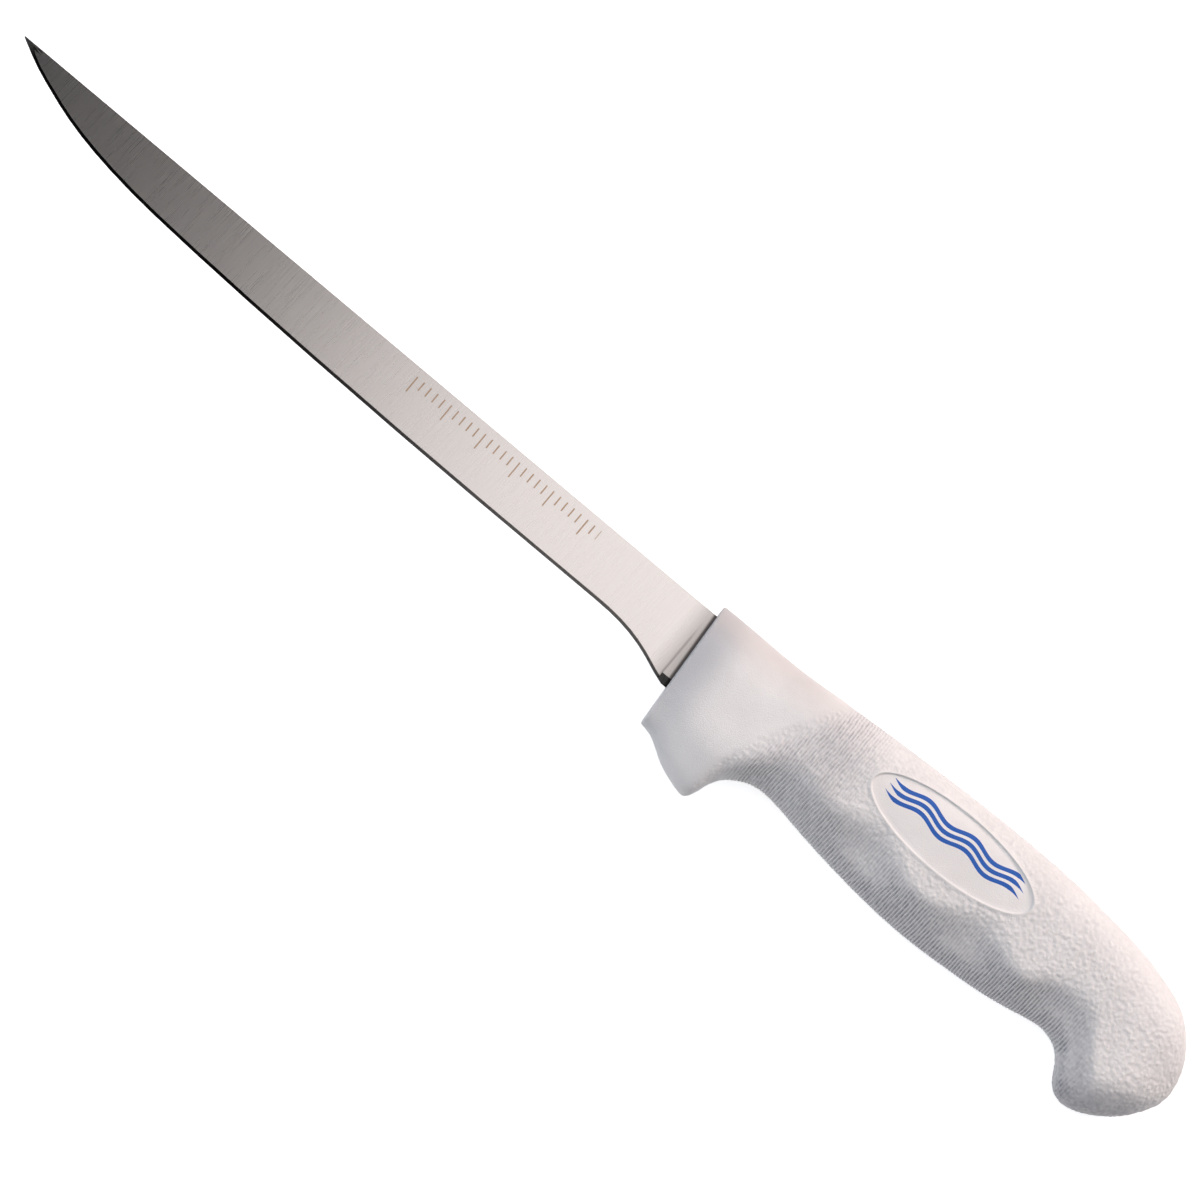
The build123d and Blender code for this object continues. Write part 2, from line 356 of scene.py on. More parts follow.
# %% Close the butt
BUTT_SHARES = (0.75, 0.5, 0.25)
last_ring = skin[-1]
butt_centre = last_ring.mean(axis=0)
butt_x = grip_high.x
caps = []
for share in BUTT_SHARES:
    cap = butt_centre + (last_ring - butt_centre) * share
    cap[:, 0] = butt_x - carved[-1] * share
    caps.append(cap)
skin = np.concatenate([skin, caps])
marks_on_skin = {
    "hollow": np.concatenate([hollow, [hollow[-1]] * len(caps)]),
    "pebbled": np.concatenate([pebbled, [pebbled[-1]] * len(caps)]),
}
print(len(caps), "rings close the butt")

# %% [markdown]
# The rings become one mesh. The faces over the oval are left out, with a margin of a millimetre, and so are
# the points that only they would use. The recess is set into that hole later.

# %% Make the skin's mesh
HOLE_OUTSET = 1.0 * MM
rings = len(skin)
vertices = skin.reshape(-1, 3).tolist() + [[butt_x, butt_centre[1], butt_centre[2]]]
faces = []
for ring in range(rings - 1):
    row, next_row = ring * AROUND, (ring + 1) * AROUND
    for point in range(AROUND):
        after = (point + 1) % AROUND
        corners = [row + point, row + after, next_row + after, next_row + point]
        middle = sum((Vector(vertices[corner]) for corner in corners), Vector()) / 4
        off_oval = middle.z < MIDDLE_Z or oval_share(middle.x, middle.y, HOLE_OUTSET) > 1
        if off_oval or ring >= rings - len(caps):
            faces.append(corners)
pole = len(vertices) - 1
row = (rings - 1) * AROUND
faces += [[row + point, row + (point + 1) % AROUND, pole] for point in range(AROUND)]
skin_mesh = bpy.data.meshes.new("grip_skin")
skin_mesh.from_pydata(vertices, [], faces)
for name, marks in marks_on_skin.items():
    attribute = skin_mesh.attributes.new(name, "FLOAT", "POINT")
    attribute.data.foreach_set("value", np.append(marks.reshape(-1), 0).astype(np.float32))
grip = bpy.data.objects.new("moulded_grip", skin_mesh)
bpy.context.collection.objects.link(grip)
bpy.ops.object.select_all(action="DESELECT")
grip.select_set(True)
bpy.context.view_layer.objects.active = grip
bpy.ops.object.mode_set(mode="EDIT")
bpy.ops.mesh.select_all(action="SELECT")
bpy.ops.mesh.delete_loose()
bpy.ops.object.mode_set(mode="OBJECT")
print(len(faces), "faces in the sleeve,", len(vertices) - len(grip.data.vertices), "unused points deleted")

# %% [markdown]
# ## The oval recess
# The recess has a smooth floor, and a wall whose upper and lower edges are rounded by the mould. A Boolean
# cut would leave slivers where the pebbles meet its edge. So the open edge of the hole in the sleeve is
# extruded inwards, loop by loop. Each loop is then set on an oval, at the level that a ray finds on the CAD
# grip, and the wall's loops are graded between the side and the floor.


# %% Open edges, and places on the oval
def select_open_edges(mesh, wanted):
    """Selects the edges with fewer than two faces whose ends both pass a test, and gives their vertices."""
    faces_at = np.zeros(len(mesh.edges), dtype=int)
    np.add.at(faces_at, [loop.edge_index for loop in mesh.loops], 1)
    for vertex in mesh.vertices:
        vertex.select = False
    for face in mesh.polygons:
        face.select = False
    found = set()
    for edge in mesh.edges:
        ends = [mesh.vertices[index].co for index in edge.vertices]
        edge.select = bool(faces_at[edge.index] < 2 and all(wanted(end) for end in ends))
        if edge.select:
            found.update(edge.vertices)
    return sorted(found)


def by_oval(place):
    """True round the oval recess."""
    return place.z > MIDDLE_Z and oval_share(place.x, place.y, 3 * HOLE_OUTSET) < 1


def on_oval(turn, outset):
    """The X and Y of a point so many millimetres outside the oval's line, square to the line."""
    across, up = math.cos(turn), math.sin(turn)
    slope = math.hypot(OVAL_HALF_HEIGHT * across, OVAL_HALF_LENGTH * up)
    x = OVAL_X + OVAL_HALF_LENGTH * across + outset * MM * OVAL_HALF_HEIGHT * across / slope
    y = OVAL_Y + OVAL_HALF_HEIGHT * up + outset * MM * OVAL_HALF_LENGTH * up / slope
    return x, y


def side_level(x, y):
    """The Z of the CAD grip's upper side straight below a point."""
    place, _ = hit(Vector((x, y, RAY_START)), Vector((0, 0, -1)))
    return place.z


# %% [markdown]
# A wall loop is given by how far it lies outside the oval's line, in millimetres, and by the share of the
# recess's depth to which it is sunk. A floor loop is given by its share of the way out from the middle.

# %% Extrude the edge of the hole
WALL_LOOPS = [(0.2, 0), (0.12, 0.01), (0.04, 0.1), (-0.05, 0.3), (-0.16, 0.62), (-0.28, 0.9), (-0.42, 1)]
FLOOR_SHARES = [0.92, 0.84, 0.72, 0.55, 0.35, 0.15]
bpy.ops.object.mode_set(mode="EDIT")
bpy.ops.mesh.select_mode(type="EDGE")
bpy.ops.object.mode_set(mode="OBJECT")
hole = select_open_edges(grip.data, by_oval)
rim_neighbours = {point: [] for point in hole}
for edge in grip.data.edges:
    if edge.select:
        first, second = edge.vertices
        rim_neighbours[first].append(second)
        rim_neighbours[second].append(first)
sleeve_points = len(grip.data.vertices)
bpy.ops.object.mode_set(mode="EDIT")
for _ in range(len(WALL_LOOPS) + len(FLOOR_SHARES)):
    bpy.ops.mesh.extrude_edges_move()
bpy.ops.object.mode_set(mode="OBJECT")
print(len(hole), "points round the hole,", len(grip.data.vertices) - sleeve_points, "new ones inside")

# %% [markdown]
# The sleeve's edge is a staircase. Its points are first put in order, and each gets the nearest place on
# the oval's line. Those places are evened out a little, so the loops inside are as regular as a drawn oval.

# %% Nearest places on the oval
rim = [hole[0]]
while len(rim) < len(hole):
    rim.append(next(point for point in rim_neighbours[rim[-1]] if point not in rim[-2:]))
LINE_STEPS = 7200
EVENED_POINTS = 2
line_turns = np.arange(LINE_STEPS) * 2 * math.pi / LINE_STEPS
line = np.array([on_oval(turn, 0) for turn in line_turns])
corners = np.array([grip.data.vertices[point].co[:2] for point in rim])
distances = np.linalg.norm(corners[:, None] - line[None], axis=2)
directions = np.unwrap(line_turns[distances.argmin(axis=1)])
if directions[-1] < directions[0]:
    rim, directions = rim[::-1], directions[::-1]
laps = np.concatenate([directions - 2 * math.pi, directions, directions + 2 * math.pi])
laps = (np.maximum.accumulate(laps) + np.minimum.accumulate(laps[::-1])[::-1]) / 2
window = np.ones(2 * EVENED_POINTS + 1) / (2 * EVENED_POINTS + 1)
directions = np.convolve(laps, window, mode="same")[len(rim):2 * len(rim)]
print("nearest to the line", round(distances.min() / MM, 2), "mm")
print("smallest step", round(math.degrees(np.diff(directions).min()), 3), "degrees")

# %% [markdown]
# Each extruded point hangs on the point that it came from, by one edge. Those edges are followed inwards,
# and each point on the way is set on its loop. The innermost loop is then merged into one point, which closes
# the floor.

# %% Set the loops on the oval
SIDE_OUTSET = 0.05
FLOOR_OUTSET = -0.1
next_inwards = {}
for edge in grip.data.edges:
    outer, inner = sorted(edge.vertices)
    outer_loop = (outer - sleeve_points) // len(hole) if outer >= sleeve_points else -1
    inner_loop = (inner - sleeve_points) // len(hole) if inner >= sleeve_points else -1
    if inner_loop == outer_loop + 1:
        next_inwards[outer] = inner


def wall_place(turn, outset, sink):
    """A point of the wall, so far out from the oval's line and sunk by a share of the recess's depth."""
    side = side_level(*on_oval(turn, max(outset, SIDE_OUTSET)))
    floor = side_level(*on_oval(turn, min(outset, FLOOR_OUTSET)))
    return (*on_oval(turn, outset), side + (floor - side) * sink)


def floor_place(turn, share):
    """A point of the floor, at a share of the way from the oval's middle to the wall's foot."""
    x, y = on_oval(turn, WALL_LOOPS[-1][0])
    x, y = OVAL_X + (x - OVAL_X) * share, OVAL_Y + (y - OVAL_Y) * share
    return x, y, side_level(x, y)


for point, turn in zip(rim, directions):
    chain = [wall_place(turn, outset, sink) for outset, sink in WALL_LOOPS]
    chain += [floor_place(turn, share) for share in FLOOR_SHARES]
    for place in chain:
        point = next_inwards[point]
        grip.data.vertices[point].co = place
for name in marks_on_skin:
    for value in list(grip.data.attributes[name].data)[sleeve_points:]:
        value.value = 0
print(len(rim) * len(chain), "points set on", len(chain), "loops")

# %% Close the oval's floor
innermost = len(grip.data.vertices) - len(hole)
bpy.ops.object.mode_set(mode="EDIT")
bpy.ops.mesh.select_all(action="DESELECT")
bpy.ops.mesh.select_mode(type="VERT")
bpy.ops.object.mode_set(mode="OBJECT")
for vertex in grip.data.vertices:
    vertex.select = vertex.index >= innermost
bpy.ops.object.mode_set(mode="EDIT")
bpy.ops.mesh.merge(type="CENTER")
bpy.ops.object.mode_set(mode="OBJECT")
print(len(grip.data.vertices), "points in the closed recess and the sleeve")

# %% [markdown]
# The blade's slot starts as the outline of a plane in the leaning front face, a little larger than the
# steel. Its sides are cut into short lengths, so that the front face fills with even triangles between the
# slot and the skin's first ring. Then the slot is pushed in, and the grip closes round the steel with a fine
# dark gap, as a moulded handle does.

# %% The slot for the blade
SLOT_CLEARANCE = 0.12
SLOT_DEPTH = 1.5 * MM
HEEL_DEPTH = 19.7
STEEL_THICKNESS = 1.9
SLOT_CUTS = 7
FRONT_TOLERANCE = 0.01 * MM
OVER_HALF = 0.51
SMOOTH_BELOW = math.radians(50)
front_tilt = math.atan(FRONT_SLOPE)
slot_height = (HEEL_DEPTH + 2 * SLOT_CLEARANCE) * MM
slot_width = (STEEL_THICKNESS + 2 * SLOT_CLEARANCE) * MM
slot_middle = (x_at(FRONT_ALONG + FRONT_SLOPE * HEEL_DEPTH / 2), y_at(HEEL_DEPTH / 2), MIDDLE_Z)
bpy.ops.object.select_all(action="DESELECT")
bpy.ops.mesh.primitive_plane_add(size=1, location=slot_middle, rotation=(0, -math.pi / 2, front_tilt))
slot = bpy.context.object
slot.name = "blade_slot"
slot.scale = (slot_width, slot_height / math.cos(front_tilt), 1)
bpy.ops.object.transform_apply(location=True, rotation=True, scale=True)
bpy.ops.object.mode_set(mode="EDIT")
bpy.ops.mesh.select_all(action="SELECT")
bpy.ops.mesh.subdivide(number_cuts=SLOT_CUTS)
bpy.ops.mesh.select_mode(type="FACE")
bpy.ops.mesh.region_to_loop()
bpy.ops.mesh.select_mode(type="VERT")
bpy.ops.mesh.select_all(action="INVERT")
bpy.ops.mesh.delete(type="VERT")
bpy.ops.object.mode_set(mode="OBJECT")
print(len(slot.data.vertices), "points round the slot")

# %% Join the slot to the skin
bpy.ops.object.select_all(action="DESELECT")
slot.select_set(True)
grip.select_set(True)
bpy.context.view_layer.objects.active = grip
bpy.ops.object.join()
print(len(grip.data.vertices), "points with the slot")


# %% Close the front face and push the slot in
def on_front(place):
    """True on the leaning front face."""
    level = x_at(FRONT_ALONG) + FRONT_SLOPE * (SPINE_Y - place.y)
    return abs(place.x - level) < FRONT_TOLERANCE


def in_slot(place):
    """True on the slot's outline in the front face."""
    return on_front(place) and abs(place.z - MIDDLE_Z) < slot_width * OVER_HALF


bpy.ops.object.mode_set(mode="EDIT")
bpy.ops.mesh.select_mode(type="EDGE")
bpy.ops.object.mode_set(mode="OBJECT")
select_open_edges(grip.data, on_front)
bpy.ops.object.mode_set(mode="EDIT")
bpy.ops.mesh.fill(use_beauty=True)
bpy.ops.object.mode_set(mode="OBJECT")
select_open_edges(grip.data, in_slot)
bpy.ops.object.mode_set(mode="EDIT")
bpy.ops.mesh.extrude_edges_move(TRANSFORM_OT_translate={"value": (SLOT_DEPTH, 0, 0)})
bpy.ops.mesh.edge_face_add()
bpy.ops.mesh.select_all(action="SELECT")
bpy.ops.mesh.normals_make_consistent(inside=False)
bpy.ops.object.mode_set(mode="OBJECT")
bpy.ops.object.shade_smooth_by_angle(angle=SMOOTH_BELOW)
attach(grip, "root")
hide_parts("soft_grip")
print(len(grip.data.polygons), "faces in the grip")

# %% [markdown]
# ## A way to write shader maths
# A finish is easier to read as an expression than as a list of nodes. This class holds one socket, and
# Python's operators on it add the Math nodes. Every other node is made by its one method `node`, which the
# short helpers below it use too.


# %% Sockets that can be added and multiplied
class Wire:
    """One output socket in a node tree."""

    def __init__(self, tree, socket):
        self.tree = tree
        self.socket = socket

    def node(self, kind, inputs, output=0, **settings):
        """Adds a node, sets it up, fills its inputs with numbers or wires, and gives one of its outputs."""
        made = self.tree.nodes.new(kind)
        for name, value in settings.items():
            setattr(made, name, value)
        for name, value in inputs.items():
            if isinstance(value, Wire):
                self.tree.links.new(value.socket, made.inputs[name])
            else:
                made.inputs[name].default_value = value
        return Wire(self.tree, made.outputs[output])

    def maths(self, operation, first, second=0.0):
        """A Math node of one or two numbers or wires."""
        return self.node("ShaderNodeMath", {0: first, 1: second}, operation=operation)

    def __add__(self, other):
        return self.maths("ADD", self, other)

    def __sub__(self, other):
        return self.maths("SUBTRACT", self, other)

    def __mul__(self, other):
        return self.maths("MULTIPLY", self, other)

    def __truediv__(self, other):
        return self.maths("DIVIDE", self, other)

    def __rsub__(self, other):
        return self.maths("SUBTRACT", other, self)

    def __lt__(self, other):
        return self.maths("LESS_THAN", self, other)

    def __gt__(self, other):
        return self.maths("GREATER_THAN", self, other)

    def __abs__(self):
        return self.maths("ABSOLUTE", self)

    __radd__ = __add__

    def ramp(self, low, high):
        """0 where the value is below low, 1 above high, and even between."""
        inputs = {"Value": self, "From Min": low, "From Max": high}
        return self.node("ShaderNodeMapRange", inputs, interpolation_type="SMOOTHSTEP")

    def mix(self, first, second):
        """The first colour where the value is 0 and the second where it is 1."""
        return self.node("ShaderNodeMix", {0: self, 6: first, 7: second}, output=2, data_type="RGBA")

    def scaled(self, by):
        """A place with each of its three parts multiplied."""
        return self.node("ShaderNodeVectorMath", {0: self, 1: by}, operation="MULTIPLY")

    def noise(self, scale, detail):
        """Soft random values round 0.5 at a place."""
        return self.node("ShaderNodeTexNoise", {"Vector": self, "Scale": scale, "Detail": detail})

    def length(self):
        """How far a place lies from the origin."""
        return self.node("ShaderNodeVectorMath", {0: self}, output="Value", operation="LENGTH")

    def part(self, axis):
        """One of the three parts of a place."""
        return self.node("ShaderNodeSeparateXYZ", {0: self}, output=axis)


def linear(red, green, blue):
    """A colour as it is read off a screen, turned into the shader's linear light."""
    shares = [level / 255 for level in (red, green, blue)]
    light = [((share + 0.055) / 1.055) ** 2.4 if share > 0.04 else share / 12.92 for share in shares]
    return (*light, 1)


def new_finish(name):
    """A new material, its main shader and the place on the object as a wire."""
    finish = bpy.data.materials.new(name)
    finish.use_nodes = True
    tree = finish.node_tree
    start = tree.nodes.new("ShaderNodeTexCoord")
    return finish, tree.nodes["Principled BSDF"], Wire(tree, start.outputs["Object"])


def feed(shader, inputs):
    """Sets or links the inputs of a material's main shader."""
    for name, value in inputs.items():
        if isinstance(value, Wire):
            value.tree.links.new(value.socket, shader.inputs[name])
        else:
            shader.inputs[name].default_value = value


# %% [markdown]
# ## Soft white skin
# The skin is a satin white plastic, with shade painted into its colour. It is painted greyer by its front
# edge and on the crest behind the front, where the grip turns away from the lights. Its hollows are painted
# darker with shade and dirt, and the butt's underside with shade alone. One picture could not follow the
# surface all round, so each shade is mixed over the one before it, by its place on the knife. The two numbers
# stored on the mesh say where the hollows and the pebbles are. A pair of numbers is again where a change
# starts and ends.

# %% Skin colours
PALE_SKIN, PALEST_SKIN = linear(229, 227, 227), linear(235, 233, 233)
FRONT_SHADE_GREY, CREST_SHADE_GREY = linear(186, 188, 193), linear(190, 182, 180)
SHADE_AND_DIRT_GREY = linear(126, 125, 137)
FRONT_SHADE_SHARE, CREST_SHADE_SHARE, SHADE_AND_DIRT_SHARE = 0.9, 0.5, 0.83
FRONT_SHADE_FADES = (x_at(FRONT_ALONG + 1), x_at(FRONT_ALONG + 13))
LOW_FRONT_STARTS, LOW_FRONT_LOSS = (15 * MM, 26 * MM), 0.6
CREST_SHADE_FADES, CREST_STARTS = (x_at(228), x_at(246)), (-6 * MM, 2 * MM)
FINE_SHADE_AND_DIRT = 0.08
LEAST_SHADE_AND_DIRT, BROKEN_SHADE_AND_DIRT = 0.72, 0.4
BROKEN_SPREAD, NOISE_SPREAD = (0.38, 0.62), (0.3, 0.7)
PEBBLE_CELLS, GRAIN_CELLS, BLOTCH_CELLS, DIRT_CELLS = 1050.0, 4200, 90, 1000
grip_finish, shader, place = new_finish("satin_white_skin")
x, y = place.part("X"), place.part("Y")
# The stored darkening of painted shade and dirt, and how far the pebbles cover each point.
hollow = place.node("ShaderNodeAttribute", {}, output="Fac", attribute_name="hollow")
pebbled = place.node("ShaderNodeAttribute", {}, output="Fac", attribute_name="pebbled")
cells = {"Vector": place, "Scale": PEBBLE_CELLS}
pebbles = place.node("ShaderNodeTexVoronoi", cells, output="Distance", feature="SMOOTH_F1")
blotches = place.noise(BLOTCH_CELLS, 3)
broken = place.noise(DIRT_CELLS, 2).ramp(*BROKEN_SPREAD)
# Painted shade and dirt in the hollows, broken up by noise, and a little between the pebbles.
shade_and_dirt_in = hollow * (LEAST_SHADE_AND_DIRT + broken * BROKEN_SHADE_AND_DIRT)
shade_and_dirt_in = shade_and_dirt_in + pebbled * pebbles.ramp(*NOISE_SPREAD) * FINE_SHADE_AND_DIRT
# Painted shade by the front edge, where the grip turns away from the lights, weaker low down.
front_shade = 1 - (x + (y - SPINE_Y) * FRONT_SLOPE).ramp(*FRONT_SHADE_FADES)
front_shade = front_shade * (1 - (SPINE_Y - y).ramp(*LOW_FRONT_STARTS) * LOW_FRONT_LOSS)
# Painted shade on the crest behind the front.
crest_shade = (1 - x.ramp(*CREST_SHADE_FADES)) * (y - SPINE_Y).ramp(*CREST_STARTS)
skin_colour = blotches.ramp(*NOISE_SPREAD).mix(PALE_SKIN, PALEST_SKIN)
skin_colour = (front_shade * FRONT_SHADE_SHARE).mix(skin_colour, FRONT_SHADE_GREY)
skin_colour = (crest_shade * CREST_SHADE_SHARE).mix(skin_colour, CREST_SHADE_GREY)
skin_colour = (shade_and_dirt_in * SHADE_AND_DIRT_SHARE).mix(skin_colour, SHADE_AND_DIRT_GREY)
print(len(grip_finish.node_tree.nodes), "nodes for the skin's colour")

# %% [markdown]
# The print in the oval is a plain wave of three lines in blue ink. It could be geometry, but ink has no
# thickness, so the colour turns blue where the place falls within bands that follow a sine curve. The lines
# taper towards both ends.

# %% The printed wave
INK_BLUE = linear(0, 84, 176)
WAVE_LENGTH = 13 * MM
WAVE_HEIGHT = 0.75 * MM
WAVE_HALF_REACH = 19.5 * MM
WAVE_LEVEL = y_at(3.6)
LINE_HALF_WIDTH = 0.5 * MM
LINE_STEP = 1.7 * MM
TAPER_RATE = 6
PRINT_SHARE = 0.93
turn = (x - OVAL_X) * (2 * math.pi / WAVE_LENGTH)
crest_of_wave = place.maths("SINE", turn) * WAVE_HEIGHT + WAVE_LEVEL
off_wave = abs(y - crest_of_wave)
taper = 1 - abs(x - OVAL_X) / WAVE_HALF_REACH
half_width = place.maths("MINIMUM", place.maths("MAXIMUM", taper, 0) * TAPER_RATE, 1) * LINE_HALF_WIDTH
middle_line = off_wave < half_width
outer_lines = abs(off_wave - LINE_STEP) < half_width
from_middle = place.node("ShaderNodeVectorMath", {0: place, 1: (OVAL_X, OVAL_Y, 0)}, operation="SUBTRACT")
in_recess = from_middle.scaled((1 / OVAL_HALF_LENGTH, 1 / OVAL_HALF_HEIGHT, 0)).length() < PRINT_SHARE
above = place.part("Z") > MIDDLE_Z
ink = place.maths("MAXIMUM", middle_line, outer_lines) * in_recess * above
skin_colour = ink.mix(skin_colour, INK_BLUE)
print("three waves,", round(WAVE_LENGTH / MM, 1), "mm long")

# %% Grip finish
GRAIN_HEIGHT, PEBBLE_HEIGHT = 0.25, 0.75
SKIN_ROUGHNESS, BLOTCH_ROUGHNESS = 0.42, 0.12
height = place.noise(GRAIN_CELLS, 2) * GRAIN_HEIGHT - pebbled * pebbles * PEBBLE_HEIGHT
bump = height.node("ShaderNodeBump", {"Height": height, "Strength": 0.8, "Distance": 0.0005})
feed(shader, {
    "Base Color": skin_colour,
    "Roughness": SKIN_ROUGHNESS + blotches * BLOTCH_ROUGHNESS,
    "IOR": 1.46,
    "Normal": bump,
})
grip.data.materials.clear()
grip.data.materials.append(grip_finish)
print(grip.name, "has", [material.name for material in grip.data.materials])

# %% [markdown]
# ## Ground steel
# The blade is finished on a belt that runs across it, which leaves fine lines from the back to the edge.
# Noise that is stretched along Y gives them, a fine one for the lines and a broad one for the belt's passes.

# %% Ground lines of the steel
LINE_SLANT = math.radians(3)
FINE_LINES, BROAD_LINES = (6500, 70, 70), (900, 25, 25)
FINE_SHARE, BROAD_SHARE = 0.85, 0.15
DIM_STEEL, BRIGHT_STEEL = (0.58, 0.57, 0.565, 1), (0.62, 0.61, 0.602, 1)
steel_finish, shader, place = new_finish("ground_steel")
x, y = place.part("X"), place.part("Y")
slant = {"Vector": place, "Angle": LINE_SLANT}
slanted = place.node("ShaderNodeVectorRotate", slant, rotation_type="Z_AXIS")
fine_lines = slanted.scaled(FINE_LINES).noise(1, 2)
broad_lines = slanted.scaled(BROAD_LINES).noise(1, 2)
streaks = fine_lines * FINE_SHARE + broad_lines * BROAD_SHARE
steel_colour = streaks.ramp(*NOISE_SPREAD).mix(DIM_STEEL, BRIGHT_STEEL)
print("fine lines about", round(1000 / FINE_LINES[0], 2), "mm apart")

# %% [markdown]
# A plain scale of short ticks is etched in tan near the blade's middle. Etching has no depth to see, so the
# ticks are colour only. Each is a band in the fraction of a step along the blade, and every fifth is longer.

# %% The etched scale
TICK_TAN = linear(158, 124, 88)
TICK_START, TICK_END = x_at(117), x_at(171)
TICK_STEP, TICK_WIDTH = 2 * MM, 0.34 * MM
STEPS_TO_A_LONG_TICK = 5
TICK_TOP = 2
SHORT_TICK, LONG_TICK = 2.4, 4.2
LEAST_TICK, TICK_SHARE = 0.75, 0.95


def ticks(step, length):
    """1 on upright ticks at an even step, from a little below the back downwards."""
    phase = place.maths("FRACT", (x - TICK_START) / step)
    near = (0.5 - abs(phase - 0.5)) < TICK_WIDTH / 2 / step
    return near * (y > y_at(TICK_TOP + length)) * (y < y_at(TICK_TOP))


short_ticks = ticks(TICK_STEP, SHORT_TICK)
long_ticks = ticks(STEPS_TO_A_LONG_TICK * TICK_STEP, LONG_TICK)
scale_marks = place.maths("MAXIMUM", short_ticks, long_ticks)
scale_marks = scale_marks * (x > TICK_START - TICK_WIDTH) * (x < TICK_END)
marks = scale_marks * (LEAST_TICK + broad_lines * (1 - LEAST_TICK))
steel_colour = (marks * TICK_SHARE).mix(steel_colour, TICK_TAN)
print(round((TICK_END - TICK_START) / TICK_STEP) + 1, "ticks")

# %% [markdown]
# Steel looks dark where it mirrors the dark, and here that is painted into its colour. The sharpened bevel
# turns away from the light and gets a painted dark reflection. The shoulder near the heel, where the grinding
# ends, also turns away and gets a line of painted shade. Towards the grip the steel gets painted shade, and
# where it enters, a dark seam is painted, partly the shade of the grip's front and partly dirt. The bevel is
# found by which way its faces point, because it is too narrow to give by place.

# %% Painted shade, reflection and dirt on the steel
HEEL_SHADE_GREY, SHOULDER_SHADE_GREY = (0.16, 0.155, 0.15, 1), (0.12, 0.11, 0.11, 1)
SEAM_SHADE_AND_DIRT, BEVEL_DARK_REFLECTION = (0.05, 0.045, 0.045, 1), (0.02, 0.02, 0.02, 1)
HEEL_SHADE_SHARE, SHOULDER_SHADE_SHARE, SEAM_SHADE_AND_DIRT_SHARE = 0.55, 0.45, 0.92
SEAM_STARTS = (x_at(FRONT_ALONG - 1.1), x_at(FRONT_ALONG - 0.4))
HEEL_SHADE_STARTS = (x_at(196.5), x_at(203.5))
SHOULDER_X, SHOULDER_HALF_WIDTH = x_at(201.7), 0.55 * MM
SHOULDER_STARTS = (3 * MM, 9 * MM)
BEVEL_TILT = 0.9968
BEVEL_FACES_DOWN = -0.02
BEVEL_FADES, BEVEL_LOSS = (x_at(70), x_at(170)), 0.6
TIP_ENDS, BEVEL_AT_TIP = (x_at(1.5), x_at(5)), 0.45
seam = x + (y - SPINE_Y) * FRONT_SLOPE
# Painted shade and dirt in the seam where the steel enters the grip.
shade_and_dirt = seam.ramp(*SEAM_STARTS)
# Painted shade on the steel towards the grip.
heel_shade = x.ramp(*HEEL_SHADE_STARTS)
# A line of painted shade along the shoulder.
off_shoulder = abs(x - SHOULDER_X).ramp(0, SHOULDER_HALF_WIDTH)
shoulder_shade = (1 - off_shoulder) * (SPINE_Y - y).ramp(*SHOULDER_STARTS)
# A painted dark reflection on the bevel, found by the way its faces point.
facing = place.node("ShaderNodeNewGeometry", {}, output="True Normal")
dark_bevel_reflection = (facing.part("Y") < BEVEL_FACES_DOWN) * (abs(facing.part("Z")) < BEVEL_TILT)
dark_bevel_reflection = dark_bevel_reflection * (1 - x.ramp(*BEVEL_FADES) * BEVEL_LOSS)
dark_bevel_reflection = dark_bevel_reflection * (BEVEL_AT_TIP + x.ramp(*TIP_ENDS) * (1 - BEVEL_AT_TIP))
steel_colour = (heel_shade * HEEL_SHADE_SHARE).mix(steel_colour, HEEL_SHADE_GREY)
steel_colour = (shoulder_shade * SHOULDER_SHADE_SHARE).mix(steel_colour, SHOULDER_SHADE_GREY)
steel_colour = (shade_and_dirt * SEAM_SHADE_AND_DIRT_SHARE).mix(steel_colour, SEAM_SHADE_AND_DIRT)
steel_colour = dark_bevel_reflection.mix(steel_colour, BEVEL_DARK_REFLECTION)
print(len(steel_finish.node_tree.nodes), "nodes for the steel's colour")

# %% Steel finish
STEEL_ROUGHNESS, STREAK_ROUGHNESS = 0.25, 0.06
TICK_DULLNESS = 0.9
bump = streaks.node("ShaderNodeBump", {"Height": streaks, "Strength": 0.12, "Distance": 0.00003})
feed(shader, {
    "Base Color": steel_colour,
    "Metallic": 1 - marks * TICK_DULLNESS,
    "Roughness": STEEL_ROUGHNESS + streaks * STREAK_ROUGHNESS,
    "Normal": bump,
})
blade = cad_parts["blade"]
blade.data.materials.clear()
blade.data.materials.append(steel_finish)
print(blade.name, "has", [material.name for material in blade.data.materials])

# %% [markdown]
# ## Hard core
# Nothing of the core shows while the grip is on. It keeps its CAD mesh and gets a plain hard plastic, a
# little clouded, for whoever takes the knife apart.

# %% Core finish
CORE_GREY, CORE_PALE = (0.74, 0.74, 0.72, 1), (0.8, 0.8, 0.78, 1)
CLOUD_CELLS = 160
CORE_ROUGHNESS, CLOUD_ROUGHNESS = 0.4, 0.15
core_finish, shader, place = new_finish("hard_core_plastic")
cloud = place.noise(CLOUD_CELLS, 3)
feed(shader, {
    "Base Color": cloud.ramp(*NOISE_SPREAD).mix(CORE_GREY, CORE_PALE),
    "Roughness": CORE_ROUGHNESS + cloud * CLOUD_ROUGHNESS,
})
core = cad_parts["handle_core"]
core.data.materials.clear()
core.data.materials.append(core_finish)
print(core.name, "has", [material.name for material in core.data.materials])

# %% [markdown]
# ## Studio
# The knife lies on a plain white floor, which is lifted to white for the camera and for the steel's mirror
# image, and more so far away, where the lights don't reach. It takes the knife's shadow as any paper does.

